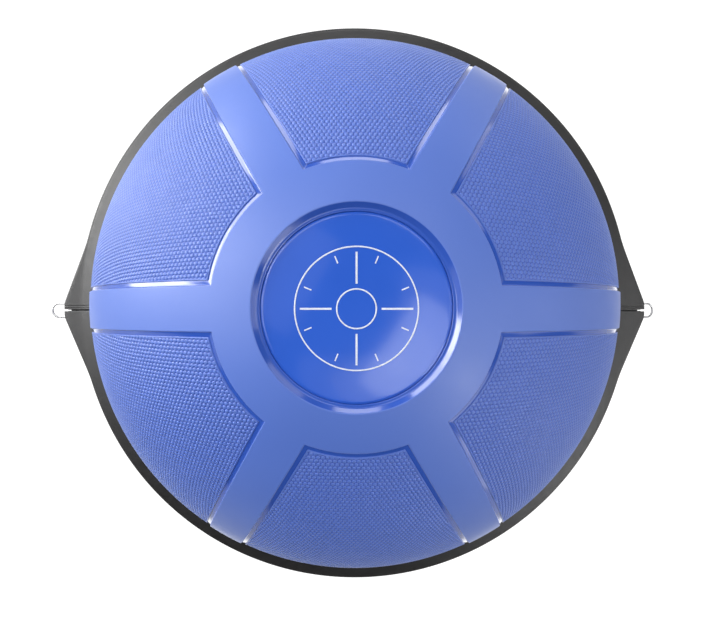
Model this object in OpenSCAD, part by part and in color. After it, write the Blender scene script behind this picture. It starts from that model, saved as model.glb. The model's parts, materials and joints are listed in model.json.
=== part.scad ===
// Balance dome trainer: an air-filled dome clamped to a moulded platform by
// two half-rings that meet at a pointed ear on each side.
// Millimetres. Origin at the centre of the footprint, on the floor. +Z up.
// The ears lie on the X axis. The rear half-ring is the +Y one.

/* [Rim] */
// Outer radius of the clamping rim, without the ears
rim_r = 300; // [298:0.5:302]
// Gap between the two half-rings at each ear
seam_gap = 1.2; // [0.8:0.1:1.6]
// How far each ear tip reaches from the centre
ear_reach = 317.5; // [316:0.5:319]
// Half width of the blunt ear tip
ear_tip_half = 7.5; // [7:0.1:7.8]
// Angle at which the ear's straight side runs into the rim
ear_angle = 14.3; // [13.5:0.1:15]
// Height of the flat top of the ears
ear_top = 41.5; // [41:0.1:42]
// Thickness of the ear's top skin and side walls
ear_wall = 3; // [2.6:0.1:3.2]

/* [Dome] */
// Widest radius of the dome
dome_r = 271; // [269:0.5:273]
// Height of the widest section above the floor
dome_mid_z = 69; // [67:0.5:71]
// Rise of the dome's curve above its widest section, before the centre recess
dome_rise = 147; // [140:1:155]
// Wall thickness of the dome
dome_wall = 4; // [3.5:0.1:4.5]
// Exponent of the dome's curve in plan
dome_n = 1.96; // [1.9:0.02:2.1]
// Exponent of the dome's curve in height
dome_m = 1.51; // [1.45:0.01:1.6]

/* [Centre disc] */
// Outer radius of the bevelled recess in the crown
recess_r = 80; // [78:0.5:84]
// Radius of the disc that lies in the recess
disc_r = 73.5; // [70:0.5:74]
// Depth of the disc's edge below the rim of the recess
recess_drop = 4.2; // [3.5:0.1:5]
// Thickness of the disc at its edge
disc_t = 1.6; // [1.2:0.1:2]

/* [Platform] */
// Height of the platform's upper face
deck_z = 30; // [30:0.1:30.1]
// Number of radial ribs under the deck
rib_count = 16; // [16]
// Radius of the circle of feet
foot_circle = 234; // [232:0.5:235]
// Radius of each rubber foot
foot_r = 14; // [12:0.5:14]

/* [Fasteners] */
// Number of screws that hold the rim to the platform
screw_count = 16; // [16]
// Radius of the screw circle
screw_circle = 288; // [287.5:0.5:288.5]
// Radius of a screw's shank
screw_r = 2; // [1.8:0.1:2.1]

/* [Band rings] */
// Radius of the steel wire
wire_r = 1.1; // [1:0.05:1.15]
// Radius of the ring's bend, on the wire's centre
ring_r = 7.5; // [7.4:0.05:7.6]
// Length of the ring's straight legs
ring_leg = 15.5; // [13:0.5:16.5]
// Angle of the left ring above the horizontal at rest
ring_left_angle = 0; // [-10:1:10]
// Angle of the right ring above the horizontal at rest
ring_right_angle = -14; // [-30:1:0]
// Radial clearance of the wire in its bore
pivot_gap = 0.08; // [0.05:0.01:0.1]

/* [Valve] */
// Radius of the valve's air bore
valve_bore_r = 4.6; // [4.4:0.1:4.8]
// Radial clearance between the plug and the bore
plug_gap = 0.08; // [0.05:0.01:0.1]

/* [Hidden] */
$fn = 96;

black_plastic = [0.09, 0.09, 0.095];
blue_vinyl = [0.25, 0.38, 0.80];
disc_blue = [0.12, 0.27, 0.78];
rubber_black = [0.05, 0.05, 0.055];
steel = [0.72, 0.73, 0.75];
zinc = [0.62, 0.63, 0.66];

flange_r = rim_r - 3;              // edge of the platform's flange
skirt_r = rim_r - 2.8;             // inside of the rim's outer wall
flange_z = deck_z - 6;             // underside of the platform's flange
axis_x = ear_reach - 5;            // pivot of a band ring
axis_z = ear_top - 3.5 - 6.5;
skin_z = ear_top - 3.5;            // underside of the ear's top skin
side_x = rim_r * cos(ear_angle);   // where an ear's side meets the rim
side_y = rim_r * sin(ear_angle);
side_len = norm([ear_reach - side_x, side_y - ear_tip_half]);
side_n = [side_y - ear_tip_half, ear_reach - side_x] / side_len;
bolt_x = rim_r + 4.5;
bolt_z = deck_z - 3;
bead_r = 277.4;
bead_top = deck_z + 10;
crown_z = dome_mid_z + dome_rise * pow(1 - pow(recess_r / dome_r, dome_n), 1 / dome_m);
disc_top = crown_z - recess_drop;  // upper edge of the disc
seat_z = disc_top - disc_t - 0.1;  // face the disc is bonded to

// Dome outline, from the widest section (a = 0) up to the crown (a = 90)
function dome_pt(a, r, h) =
    [r * pow(cos(a), 2 / dome_n), dome_mid_z + h * pow(sin(a), 2 / dome_m)];
// Angle on that curve at which it has the given radius
function dome_a(rad, r) = acos(pow(rad / r, dome_n / 2));
// Dome radius below the widest section
function low_r(z) = dome_r - 3.6 * pow((dome_mid_z - z) / (dome_mid_z - bead_top), 2);

// Section of the clamping rim, from the lip over the bead to the outer wall
module rim_section() {
    polygon([[269.4, bead_top + 0.2], [277.8, bead_top + 0.2],
             [277.8, deck_z + 0.2], [skirt_r, deck_z + 0.2],
             [skirt_r, 15.5], [rim_r - 2, 14.8], [rim_r - 0.6, 15.4],
             [rim_r, 17], [rim_r, ear_top - 1.6], [rim_r - 0.5, ear_top - 0.5],
             [rim_r - 1.6, ear_top], [rim_r - 9, ear_top + 1.3],
             [280, 45], [272.5, 46.2], [270.3, 45.8], [269.4, 44.4]]);
}

// Plan of one half-ear, grown inwards by the given wall
module ear_plan() {
    polygon([[280, 0], [ear_reach, 0], [ear_reach, ear_tip_half],
             [side_x, side_y], [280, side_y - 4]]);
}

// Hollow under one half-ear: a bolt pocket and the space beside the lug
module ear_hollow() {
    // a point on the side wall's inner face at height y in plan
    function inner(y) = [ear_reach - ear_wall * side_n[0]
        - (y - ear_tip_half + ear_wall * side_n[1]) * side_n[1] / side_n[0], y];
    translate([0, 0, -1]) linear_extrude(skin_z + 1)
        difference() {
            polygon([[280, 3.8], [axis_x - 3.5, 3.8], [axis_x - 3.5, 5.9],
                     inner(5.9), inner(side_y - 1), [280, side_y - 1]]);
            circle(r = rim_r, $fn = 180);
        }
    // slot for the ring's leg, open at the tip
    translate([axis_x - 3.5, 5.9, -1]) cube([14, 3.2, skin_z + 1]);
    // the lug ends above the ring's sweep
    translate([axis_x - 5, -1, -1]) cube([14, 21, axis_z - 7.5]);
}

module half_ear() {
    difference() {
        union() {
            // side walls, outside the rim's own wall
            difference() {
                translate([0, 0, 17]) linear_extrude(ear_top - 17) ear_plan();
                cylinder(r = rim_r - 1.4, h = 100, $fn = 180);
            }
            // top skin, run back onto the rim's shoulder
            difference() {
                translate([0, 0, skin_z]) linear_extrude(ear_top - skin_z) ear_plan();
                cylinder(r = rim_r - 9, h = 100, $fn = 180);
            }
        }
        ear_hollow();
    }
}

// One half of the clamping rim, on the +Y side
module rim_half() {
    difference() {
        union() {
            rotate_extrude(angle = 180, $fn = 180) rim_section();
            half_ear();
            mirror([1, 0, 0]) half_ear();
        }
        // the two halves stop short of each other
        translate([-400, -1, -1]) cube([800, 1 + seam_gap / 2, 100]);
        for (s = [-1, 1]) {
            // see-through slot at the tip
            translate([s > 0 ? ear_reach - 5 : -ear_reach - 1, -1, -1])
                cube([6, 2.1, 100]);
            // pivot bore of the band ring
            translate([s * axis_x, -1, axis_z]) rotate([-90, 0, 0])
                cylinder(r = wire_r + pivot_gap, h = 9);
            // hole of the ear's bolt
            translate([s * bolt_x, -1, bolt_z]) rotate([-90, 0, 0])
                cylinder(r = 2.2, h = 6.5);
        }
        // pilot holes of the platform screws
        for (i = [0 : screw_count / 2 - 1])
            rotate([0, 0, (i + 0.5) * 360 / screw_count])
                translate([screw_circle, 0, deck_z - 1])
                    cylinder(r = screw_r + 0.05, h = 12);
    }
}

// Tongue that lines the two half-rings up across the seam, grown for its groove
module seam_tongue(grow = 0) {
    for (s = [-1, 1])
        translate([s > 0 ? rim_r - 16 - grow : -axis_x + 0.6 - grow, -2.4 - grow, skin_z - 4 - grow])
            cube([axis_x + 15.4 - rim_r + 2 * grow, 2.4 + seam_gap / 2 + 0.5 + 2 * grow, 2.4 + 2 * grow]);
}

module rim_half_rear() color(black_plastic) {
    rim_half();
    seam_tongue();
}

module rim_half_front() color(black_plastic)
    difference() {
        mirror([0, 1, 0]) rim_half();
        seam_tongue(0.3);
    }

// Moulded platform: deck, tapered skirt, ribs, feet sockets and hand grips
module platform_plate() color(black_plastic) {
    difference() {
        union() {
            rotate_extrude($fn = 180)
                polygon([[0, deck_z - 4], [0, deck_z], [flange_r, deck_z],
                         [flange_r, flange_z], [283, flange_z], [253, 3],
                         [248.5, 3], [279, deck_z - 4]]);
            // ring ribs
            for (r = [88, 160])
                difference() {
                    translate([0, 0, 9]) cylinder(r = r + 3, h = deck_z - 12.5);
                    cylinder(r = r, h = 60);
                }
            // radial ribs
            for (i = [0 : rib_count - 1])
                rotate([0, 0, i * 360 / rib_count])
                    translate([21, -1.5, 9]) cube([241, 3, deck_z - 12.5]);
            // collar around the valve
            translate([0, 0, 6]) cylinder(r = 23, h = deck_z - 9.5);
            // sockets of the feet
            for (i = [0 : 7])
                rotate([0, 0, (i + 0.5) * 45]) translate([foot_circle, 0, 3])
                    cylinder(r = foot_r + 4, h = deck_z - 6);
            // inner walls of the hand grips
            for (s = [0, 180]) rotate([0, 0, s]) {
                translate([234, -66, 5]) cube([3.5, 132, deck_z - 8.5]);
                for (m = [0, 1]) mirror([0, m, 0])
                    translate([234, 62.5, 5]) cube([22, 3.5, deck_z - 8.5]);
            }
        }
        // hollow of the collar
        translate([0, 0, -1]) cylinder(r = 20, h = deck_z - 3);
        // passage of the valve
        cylinder(r = 9.5, h = 60);
        // finger openings through the skirt, under each ear
        for (s = [0, 180]) rotate([0, 0, s])
            translate([237.5, -62.5, -1]) cube([50, 125, flange_z + 1 - 0]);
        // feet
        for (i = [0 : 7])
            rotate([0, 0, (i + 0.5) * 45]) translate([foot_circle, 0, -1])
                cylinder(r = foot_r + 0.15, h = 7);
        // screw clearance holes
        for (i = [0 : screw_count - 1])
            rotate([0, 0, (i + 0.5) * 360 / screw_count])
                translate([screw_circle, 0, 10]) cylinder(r = screw_r + 0.3, h = 40);
    }
}

// Hollow vinyl dome with the bead that the rim clamps
module dome_shell() color(blue_vinyl) {
    a1 = dome_a(recess_r, dome_r);
    a2 = dome_a(recess_r + 14, dome_r - dome_wall);
    rotate_extrude($fn = 180)
        polygon(concat(
            [[dome_r - 3.6 - dome_wall, deck_z + 0.2], [bead_r, deck_z + 0.2],
             [bead_r, bead_top], [low_r(bead_top), bead_top]],
            [for (k = [1 : 3]) let (z = bead_top + (dome_mid_z - bead_top) * k / 4)
                [low_r(z), z]],
            [for (k = [0 : 17]) dome_pt(a1 * k / 18, dome_r, dome_rise)],
            [[recess_r + 1.2, crown_z - 0.1], [recess_r - 0.6, crown_z - 0.7],
             [disc_r + 0.3, disc_top], [disc_r + 0.3, seat_z], [0, seat_z],
             [0, seat_z - dome_wall], [recess_r + 6, seat_z - dome_wall]],
            [for (k = [14 : -1 : 0])
                dome_pt(a2 * k / 14, dome_r - dome_wall, dome_rise - dome_wall)],
            [for (k = [3 : -1 : 1]) let (z = bead_top + (dome_mid_z - bead_top) * k / 4)
                [low_r(z) - dome_wall, z]],
            [[low_r(bead_top) - dome_wall, bead_top]]));
}

// Membrane that closes the dome from below
module dome_floor() color(blue_vinyl)
    translate([0, 0, deck_z + 0.2]) difference() {
        cylinder(r = dome_r - 8.2, h = 2, $fn = 180);
        translate([0, 0, -1]) cylinder(r = 9, h = 4);
    }

// Glossy disc bonded into the crown
module centre_disc() color(disc_blue)
    rotate_extrude($fn = 128)
        polygon(concat([[0, seat_z + 0.1], [disc_r, seat_z + 0.1]],
            [for (k = [0 : 6]) let (r = disc_r * (1 - k / 6))
                [r, disc_top + 1.6 * (1 - pow(r / disc_r, 2))]]));

// Rubber valve: a flange welded inside the floor and a stem through the deck
module valve_body() color(rubber_black)
    difference() {
        union() {
            translate([0, 0, deck_z + 2.3]) cylinder(r = 22, h = 2.5);
            translate([0, 0, 16]) cylinder(r = 8.8, h = deck_z - 11.5);
        }
        cylinder(r = valve_bore_r, h = 60);
    }

// Push-in plug: a ribbed stem, a flat head and a tab to pull it by
module valve_plug() color(rubber_black) {
    plug_r = valve_bore_r - plug_gap;
    rotate_extrude()
        polygon([[0, 12.9], [9, 12.9], [9.6, 13.6], [9.6, 15.2], [9, 15.9],
                 [plug_r, 15.9], [plug_r, 21], [plug_r - 0.7, 21.8],
                 [plug_r - 0.7, 22.8], [plug_r, 23.6], [plug_r, 28],
                 [plug_r - 0.7, 28.8], [plug_r - 0.7, 29.8], [plug_r, 30.6],
                 [plug_r, 34], [2.6, 37], [0, 37]]);
    translate([0, 0, 10.2]) intersection() {
        translate([-7, -1.6, -2.4]) cube([14, 3.2, 5.4]);
        rotate([90, 0, 0]) translate([0, 4.6, -5]) cylinder(r = 7, h = 10);
    }
}

// Steel wire ring for a resistance band, pivoting on its two inturned ends
module band_ring() {
    translate([ring_leg, 0, 0]) rotate([0, 0, -90])
        rotate_extrude(angle = 180, $fn = 64) translate([ring_r, 0]) circle(r = wire_r, $fn = 32);
    for (m = [0, 1]) mirror([0, m, 0]) {
        translate([1.5, ring_r, 0]) rotate([0, 90, 0])
            cylinder(r = wire_r, h = ring_leg - 1.5, $fn = 32);
        translate([1.5, ring_r - 1.5, 0]) rotate([0, 0, 90])
            rotate_extrude(angle = 90, $fn = 64) translate([1.5, 0]) circle(r = wire_r, $fn = 32);
        translate([0, 1.9, 0]) rotate([-90, 0, 0])
            cylinder(r = wire_r, h = ring_r - 3.4, $fn = 32);
    }
}

module ring_right() color(steel)
    translate([axis_x, 0, axis_z]) rotate([0, -ring_right_angle, 0]) band_ring();

module ring_left() color(steel)
    mirror([1, 0, 0]) translate([axis_x, 0, axis_z])
        rotate([0, -ring_left_angle, 0]) band_ring();

// Bolt across the seam, with a hexagonal socket in its head
module ear_bolt(x) color(zinc)
    translate([x, 0, bolt_z]) rotate([90, 0, 0]) {
        translate([0, 0, -3.9]) cylinder(r = 2, h = 13);
        difference() {
            translate([0, 0, -7.6]) cylinder(r = 3.6, h = 3.7);
            translate([0, 0, -8]) cylinder(r = 1.7, h = 2.2, $fn = 6);
        }
    }

module ear_nut(x) color(zinc)
    translate([x, -3.9, bolt_z]) rotate([90, 0, 0])
        difference() {
            cylinder(r = 4.04, h = 3.2, $fn = 6);
            translate([0, 0, -1]) cylinder(r = 2.1, h = 6);
        }

module ear_bolt_left() ear_bolt(-bolt_x);
module ear_bolt_right() ear_bolt(bolt_x);
module ear_nut_left() ear_nut(-bolt_x);
module ear_nut_right() ear_nut(bolt_x);

// Pan-head screw with a cross recess, pointing up
module platform_screw() {
    translate([0, 0, flange_z - 1]) cylinder(r = screw_r, h = 16, $fn = 32);
    difference() {
        translate([0, 0, flange_z - 3.6]) cylinder(r = 4, h = 2.6, $fn = 32);
        for (a = [0, 90]) rotate([0, 0, a])
            translate([-2.2, -0.5, flange_z - 4]) cube([4.4, 1, 1.8]);
    }
}

module platform_screws() color(zinc)
    for (i = [0 : screw_count - 1])
        rotate([0, 0, (i + 0.5) * 360 / screw_count])
            translate([screw_circle, 0, 0]) platform_screw();

module platform_washers() color(zinc)
    for (i = [0 : screw_count - 1])
        rotate([0, 0, (i + 0.5) * 360 / screw_count])
            translate([screw_circle, 0, flange_z - 0.95])
                difference() {
                    cylinder(r = 5, h = 0.9, $fn = 32);
                    translate([0, 0, -1]) cylinder(r = screw_r + 0.2, h = 3, $fn = 32);
                }

// Rubber foot in its socket, with a chamfered edge and a shallow groove
module foot_pad(i) color(rubber_black)
    rotate([0, 0, (i - 0.5) * 45]) translate([foot_circle, 0, 0])
        rotate_extrude()
            polygon([[0, 0], [foot_r - 5, 0], [foot_r - 4.6, 0.8],
                     [foot_r - 3.6, 0.8], [foot_r - 3.2, 0], [foot_r - 0.8, 0],
                     [foot_r, 0.8], [foot_r, 5.9], [0, 5.9]]);

module foot_pad_1() foot_pad(1);
module foot_pad_2() foot_pad(2);
module foot_pad_3() foot_pad(3);
module foot_pad_4() foot_pad(4);
module foot_pad_5() foot_pad(5);
module foot_pad_6() foot_pad(6);
module foot_pad_7() foot_pad(7);
module foot_pad_8() foot_pad(8);

platform_plate();
rim_half_rear();
rim_half_front();
dome_shell();
dome_floor();
centre_disc();
valve_body();
valve_plug();
ring_left();
ring_right();
ear_bolt_left();
ear_bolt_right();
ear_nut_left();
ear_nut_right();
platform_screws();
platform_washers();
foot_pad_1();
foot_pad_2();
foot_pad_3();
foot_pad_4();
foot_pad_5();
foot_pad_6();
foot_pad_7();
foot_pad_8();
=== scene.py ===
import json
import math

import bpy
import bmesh
import numpy as np
from mathutils import Matrix, Vector


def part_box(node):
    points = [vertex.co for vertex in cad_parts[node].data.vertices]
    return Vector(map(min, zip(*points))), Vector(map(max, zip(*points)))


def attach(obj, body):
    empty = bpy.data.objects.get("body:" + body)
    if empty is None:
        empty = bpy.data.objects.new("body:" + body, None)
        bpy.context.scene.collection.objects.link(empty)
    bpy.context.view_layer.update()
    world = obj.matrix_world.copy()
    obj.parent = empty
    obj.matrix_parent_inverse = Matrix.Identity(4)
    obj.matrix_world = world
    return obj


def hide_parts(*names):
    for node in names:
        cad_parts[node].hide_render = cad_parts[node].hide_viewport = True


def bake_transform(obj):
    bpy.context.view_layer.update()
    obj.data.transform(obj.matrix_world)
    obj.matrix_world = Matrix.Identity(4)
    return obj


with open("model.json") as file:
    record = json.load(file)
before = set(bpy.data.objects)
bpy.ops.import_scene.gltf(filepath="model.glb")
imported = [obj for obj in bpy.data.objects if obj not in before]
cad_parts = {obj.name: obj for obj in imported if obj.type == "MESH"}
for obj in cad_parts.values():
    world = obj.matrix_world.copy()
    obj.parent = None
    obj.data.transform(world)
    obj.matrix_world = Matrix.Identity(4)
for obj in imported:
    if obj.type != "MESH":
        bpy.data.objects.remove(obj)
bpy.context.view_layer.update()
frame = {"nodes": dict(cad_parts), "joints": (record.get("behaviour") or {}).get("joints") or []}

MM = 0.001

# ---------------------------------------------------------------- dimensions
# Everything hangs on the CAD boxes: the dome's floor and crown, the disc,
# the rim and the ears.
dome_lo, dome_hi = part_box("dome_shell")
disc_lo, disc_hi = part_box("centre_disc")
rim_lo, rim_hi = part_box("rim_half_rear")
DECK = dome_lo.z / MM - 0.2              # platform's upper face, mm
CROWN = dome_hi.z / MM                   # edge of the centre recess
DISC_R = disc_hi.x / MM
DISC_BOTTOM = disc_lo.z / MM
DISC_TOP = disc_hi.z / MM                # middle of the crowned disc
EAR = rim_hi.x / MM                      # ear tip
RIM = 300.0
RIM_TOP = rim_hi.z / MM

DOME_R, RISE, DN, DM = 271.0, 147.0, 1.96, 1.51
MID_Z = CROWN - RISE * (1 - (80.0 / DOME_R) ** DN) ** (1 / DM)   # widest section
BEAD_TOP = DECK + 10.0
RECESS_R = 80.0
DISC_EDGE = DISC_TOP - 1.6
SEAT = DISC_BOTTOM - 0.1

RING_OUT = 113.6                         # smooth centre ring's outer radius
SPOKE = 17.9                             # half width of a spoke
GROOVE = 4.4                             # groove width
DEPTH = 2.2                              # groove depth
PITCH = 3.8                              # spacing of the grip bumps


# ---------------------------------------------------------------- mesh tools
def new_mesh(name, verts, faces, smooth=True):
    """An object from vertices in mm and a list of (n, k) index arrays."""
    me = bpy.data.meshes.new(name)
    verts = np.asarray(verts, float) * MM
    me.vertices.add(len(verts))
    me.vertices.foreach_set("co", verts.astype(np.float32).ravel())
    faces = [np.asarray(f, np.int32) for f in faces if len(f)]
    idx = np.concatenate([f.ravel() for f in faces])
    size = np.concatenate([np.full(len(f), f.shape[1], np.int32) for f in faces])
    me.loops.add(len(idx))
    me.loops.foreach_set("vertex_index", idx)
    me.polygons.add(len(size))
    me.polygons.foreach_set("loop_start", np.concatenate([[0], np.cumsum(size)[:-1]]).astype(np.int32))
    me.polygons.foreach_set("loop_total", size)
    me.update(calc_edges=True)
    me.validate()
    me.polygons.foreach_set("use_smooth", np.full(len(me.polygons), smooth))
    me.update()
    ob = bpy.data.objects.new(name, me)
    bpy.context.scene.collection.objects.link(ob)
    return ob


def point_attr(ob, name, values):
    a = ob.data.attributes.new(name, "FLOAT", "POINT")
    a.data.foreach_set("value", np.asarray(values, np.float32))


def sharp(ob, degrees):
    ob.data.set_sharp_from_angle(angle=math.radians(degrees))


def grid_faces(rows, cols, closed=True, base=0):
    i = np.arange(rows - 1)[:, None]
    j = np.arange(cols if closed else cols - 1)[None, :]
    j2 = (j + 1) % cols
    q = np.stack([i * cols + j, i * cols + j2, (i + 1) * cols + j2, (i + 1) * cols + j], -1)
    return q.reshape(-1, 4) + base


def lathe(name, profile, segs=256, close_top=True, close_bottom=True):
    """A turned solid from (r, z) points in mm. An r of 0 at an end is a pole."""
    p = np.array(profile, float)
    top, bottom = p[0, 0] < 1e-6, p[-1, 0] < 1e-6
    body = p[1 if top else 0: -1 if bottom else None]
    a = np.arange(segs) * 2 * math.pi / segs
    v = np.stack([body[:, 0, None] * np.cos(a), body[:, 0, None] * np.sin(a),
                  np.repeat(body[:, 1, None], segs, 1)], -1).reshape(-1, 3)
    faces = [grid_faces(len(body), segs)]
    extra = []
    j = np.arange(segs)
    if top:
        extra.append([0, 0, p[0, 1]])
        faces.append(np.stack([np.full(segs, len(v) + len(extra) - 1), (j + 1) % segs, j], -1))
    if bottom:
        extra.append([0, 0, p[-1, 1]])
        b = (len(body) - 1) * segs
        faces.append(np.stack([np.full(segs, len(v) + len(extra) - 1), b + j, b + (j + 1) % segs], -1))
    if not top and not bottom:
        # closed ring section
        b = (len(body) - 1) * segs
        faces.append(np.stack([b + j, b + (j + 1) % segs, (j + 1) % segs, j], -1))
    if extra:
        v = np.vstack([v, extra])
    ob = new_mesh(name, v, faces)
    fix_normals(ob)
    return ob


def fix_normals(ob):
    bm = bmesh.new()
    bm.from_mesh(ob.data)
    bmesh.ops.recalc_face_normals(bm, faces=bm.faces)
    bm.to_mesh(ob.data)
    bm.free()
    ob.data.update()


def smoothstep(x, a, b):
    t = np.clip((np.asarray(x, float) - a) / (b - a), 0, 1)
    return t * t * (3 - 2 * t)


# ---------------------------------------------------------------- materials
class Mat:
    """A small helper for node materials."""

    def __init__(self, name):
        self.m = bpy.data.materials.new(name)
        self.m.use_nodes = True
        self.t = self.m.node_tree
        self.p = self.t.nodes["Principled BSDF"]
        self.x = -300

    def node(self, kind, **kw):
        n = self.t.nodes.new(kind)
        self.x -= 30
        n.location = (self.x, 0)
        for k, v in kw.items():
            if k in n.inputs.keys():
                n.inputs[k].default_value = v
            else:
                setattr(n, k, v)
        return n

    def link(self, a, b):
        self.t.links.new(a, b)

    def set(self, **kw):
        for k, v in kw.items():
            self.p.inputs[k.replace("_", " ")].default_value = v

    def coords(self):
        return self.node("ShaderNodeTexCoord").outputs["Object"]

    def noise(self, scale, detail=3.0, rough=0.5, vec=None):
        n = self.node("ShaderNodeTexNoise")
        n.inputs["Scale"].default_value = scale
        n.inputs["Detail"].default_value = detail
        n.inputs["Roughness"].default_value = rough
        self.link(vec if vec is not None else self.coords(), n.inputs["Vector"])
        return n.outputs["Fac"]

    def ramp(self, fac, stops):
        n = self.node("ShaderNodeValToRGB")
        el = n.color_ramp.elements
        while len(el) < len(stops):
            el.new(0.5)
        for e, (pos, col) in zip(el, stops):
            e.position = pos
            e.color = col if len(col) == 4 else (*col, 1)
        self.link(fac, n.inputs["Fac"])
        return n.outputs["Color"]

    def maprange(self, fac, a, b, c, d):
        n = self.node("ShaderNodeMapRange")
        n.inputs["From Min"].default_value = a
        n.inputs["From Max"].default_value = b
        n.inputs["To Min"].default_value = c
        n.inputs["To Max"].default_value = d
        self.link(fac, n.inputs["Value"])
        return n.outputs["Result"]

    def mix(self, fac, a, b, kind="MIX"):
        n = self.node("ShaderNodeMix")
        n.data_type = "RGBA"
        n.blend_type = kind
        for sock, v in ((n.inputs[0], fac), (n.inputs[6], a), (n.inputs[7], b)):
            if hasattr(v, "links"):
                self.link(v, sock)
            else:
                sock.default_value = v if not isinstance(v, tuple) or len(v) == 4 else (*v, 1)
        return n.outputs[2]

    def bump(self, height, strength, distance, chain=None):
        n = self.node("ShaderNodeBump")
        n.inputs["Strength"].default_value = strength
        n.inputs["Distance"].default_value = distance
        self.link(height, n.inputs["Height"])
        if chain is not None:
            self.link(chain, n.inputs["Normal"])
        return n.outputs["Normal"]

    def attr(self, name):
        n = self.node("ShaderNodeAttribute")
        n.attribute_name = name
        return n.outputs["Fac"]


def srgb(r, g, b):
    def f(c):
        c /= 255
        return c / 12.92 if c <= 0.04045 else ((c + 0.055) / 1.055) ** 2.4
    return (f(r), f(g), f(b), 1.0)


def vinyl(name, panel):
    m = Mat(name)
    co = m.coords()
    broad = m.noise(7, 2, 0.5, co)
    fine = m.noise(900, 3, 0.6, co)
    base = m.ramp(broad, [(0.3, srgb(80, 111, 194)), (0.7, srgb(86, 117, 201))])
    if panel:
        # the same lattice as the modelled bumps, so the painted shade in the valleys stays crisp
        def calc(op, a, b=None):
            n = m.node("ShaderNodeMath", operation=op)
            m.link(a, n.inputs[0])
            if isinstance(b, (int, float)):
                n.inputs[1].default_value = b
            elif b is not None:
                m.link(b, n.inputs[1])
            return n.outputs[0]
        u, w, inside = m.attr("lat_u"), m.attr("lat_w"), m.attr("inside")
        half = calc("MULTIPLY", u, 0.5)
        f = calc("ADD", calc("COSINE", u), calc("ADD", calc("COSINE", calc("ADD", half, w)),
                                                 calc("COSINE", calc("SUBTRACT", half, w))))
        # painted shade: the valleys between the bumps are painted a darker blue, standing for the shade that falls
        # between them
        valley_painted_shade = calc("MULTIPLY", m.maprange(f, -1.25, -0.35, 1.0, 0.0), inside)
        base = m.mix(valley_painted_shade, base, srgb(52, 84, 179))
        m.link(base, m.p.inputs["Base Color"])
        m.link(m.maprange(m.noise(60, 3, 0.6, co), 0.3, 0.7, 0.36, 0.46), m.p.inputs["Roughness"])
        hill = calc("MULTIPLY", m.maprange(f, -1.4, 0.6, 0.0, 1.0), inside)
        m.link(m.bump(fine, 0.08, 0.0004, m.bump(hill, 0.36, 0.0005)), m.p.inputs["Normal"])
    else:
        g = m.attr("groove")
        # painted shade: the groove floors and the recess bevel are painted a darker, deeper blue for the shade in
        # them; the same mask also makes them glossier
        base = m.mix(g, base, srgb(48, 86, 182))
        m.link(base, m.p.inputs["Base Color"])
        r = m.maprange(m.noise(40, 3, 0.6, co), 0.3, 0.7, 0.42, 0.50)
        mult = m.node("ShaderNodeMath", operation="MULTIPLY")
        m.link(r, mult.inputs[0])
        m.link(m.maprange(g, 0.0, 1.0, 1.0, 0.32), mult.inputs[1])
        m.link(mult.outputs[0], m.p.inputs["Roughness"])
        b = m.node("ShaderNodeBump")
        b.inputs["Distance"].default_value = 0.0003
        m.link(fine, b.inputs["Height"])
        m.link(m.maprange(g, 0.0, 1.0, 0.06, 0.0), b.inputs["Strength"])
        m.link(b.outputs["Normal"], m.p.inputs["Normal"])
        m.link(m.maprange(g, 0.0, 1.0, 0.12, 0.0), m.p.inputs["Sheen Weight"])
        m.link(m.maprange(g, 0.0, 1.0, 0.15, 0.9), m.p.inputs["Coat Weight"])
        m.link(m.maprange(g, 0.0, 1.0, 0.3, 0.12), m.p.inputs["Coat Roughness"])
        m.set(Specular_IOR_Level=0.6, Sheen_Roughness=0.4)
        return m.m
    m.set(Specular_IOR_Level=0.6, Coat_Weight=0.15, Coat_Roughness=0.3, Sheen_Weight=0.22, Sheen_Roughness=0.4)
    return m.m


def gloss_disc():
    m = Mat("disc_gloss_print")
    co = m.coords()
    base = m.ramp(m.noise(12, 2, 0.5, co), [(0.3, srgb(43, 90, 196)), (0.7, srgb(48, 95, 203))])
    m.link(base, m.p.inputs["Base Color"])
    m.link(m.maprange(m.noise(30, 4, 0.6, co), 0.3, 0.7, 0.10, 0.16), m.p.inputs["Roughness"])
    m.link(m.bump(m.noise(9, 1, 0.4, co), 0.02, 0.002), m.p.inputs["Normal"])
    m.set(Specular_IOR_Level=0.5, Coat_Weight=0.5, Coat_Roughness=0.08)
    return m.m


def print_white():
    m = Mat("print_white_ink")
    co = m.coords()
    base = m.ramp(m.noise(600, 3, 0.6, co), [(0.35, srgb(206, 212, 226)), (0.65, srgb(228, 232, 240))])
    m.link(base, m.p.inputs["Base Color"])
    m.link(m.maprange(m.noise(200, 2, 0.5, co), 0.3, 0.7, 0.28, 0.36), m.p.inputs["Roughness"])
    return m.m


def black_plastic(name, dark, light, rough, grain, depth, edge=None):
    m = Mat(name)
    co = m.coords()
    base = m.ramp(m.noise(18, 4, 0.6, co), [(0.3, dark), (0.75, light)])
    if edge:
        # painted shade: the bevel along the outer edge is painted darker and given almost no specular, to stand for
        # the dark line of shade there
        e = m.attr("edge")
        base = m.mix(e, base, edge)
        m.link(m.maprange(e, 0.0, 1.0, 0.85, 0.05), m.p.inputs["Specular IOR Level"])
    m.link(base, m.p.inputs["Base Color"])
    m.link(m.maprange(m.noise(120, 3, 0.6, co), 0.3, 0.7, rough - 0.05, rough + 0.06), m.p.inputs["Roughness"])
    v = m.node("ShaderNodeTexVoronoi")
    v.inputs["Scale"].default_value = grain
    m.link(co, v.inputs["Vector"])
    b = m.bump(v.outputs["Distance"], 0.25, depth)
    m.link(m.bump(m.noise(grain * 2.2, 3, 0.6, co), 0.2, depth * 0.6, b), m.p.inputs["Normal"])
    if not edge:
        m.set(Specular_IOR_Level=0.45)
    return m.m


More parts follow.
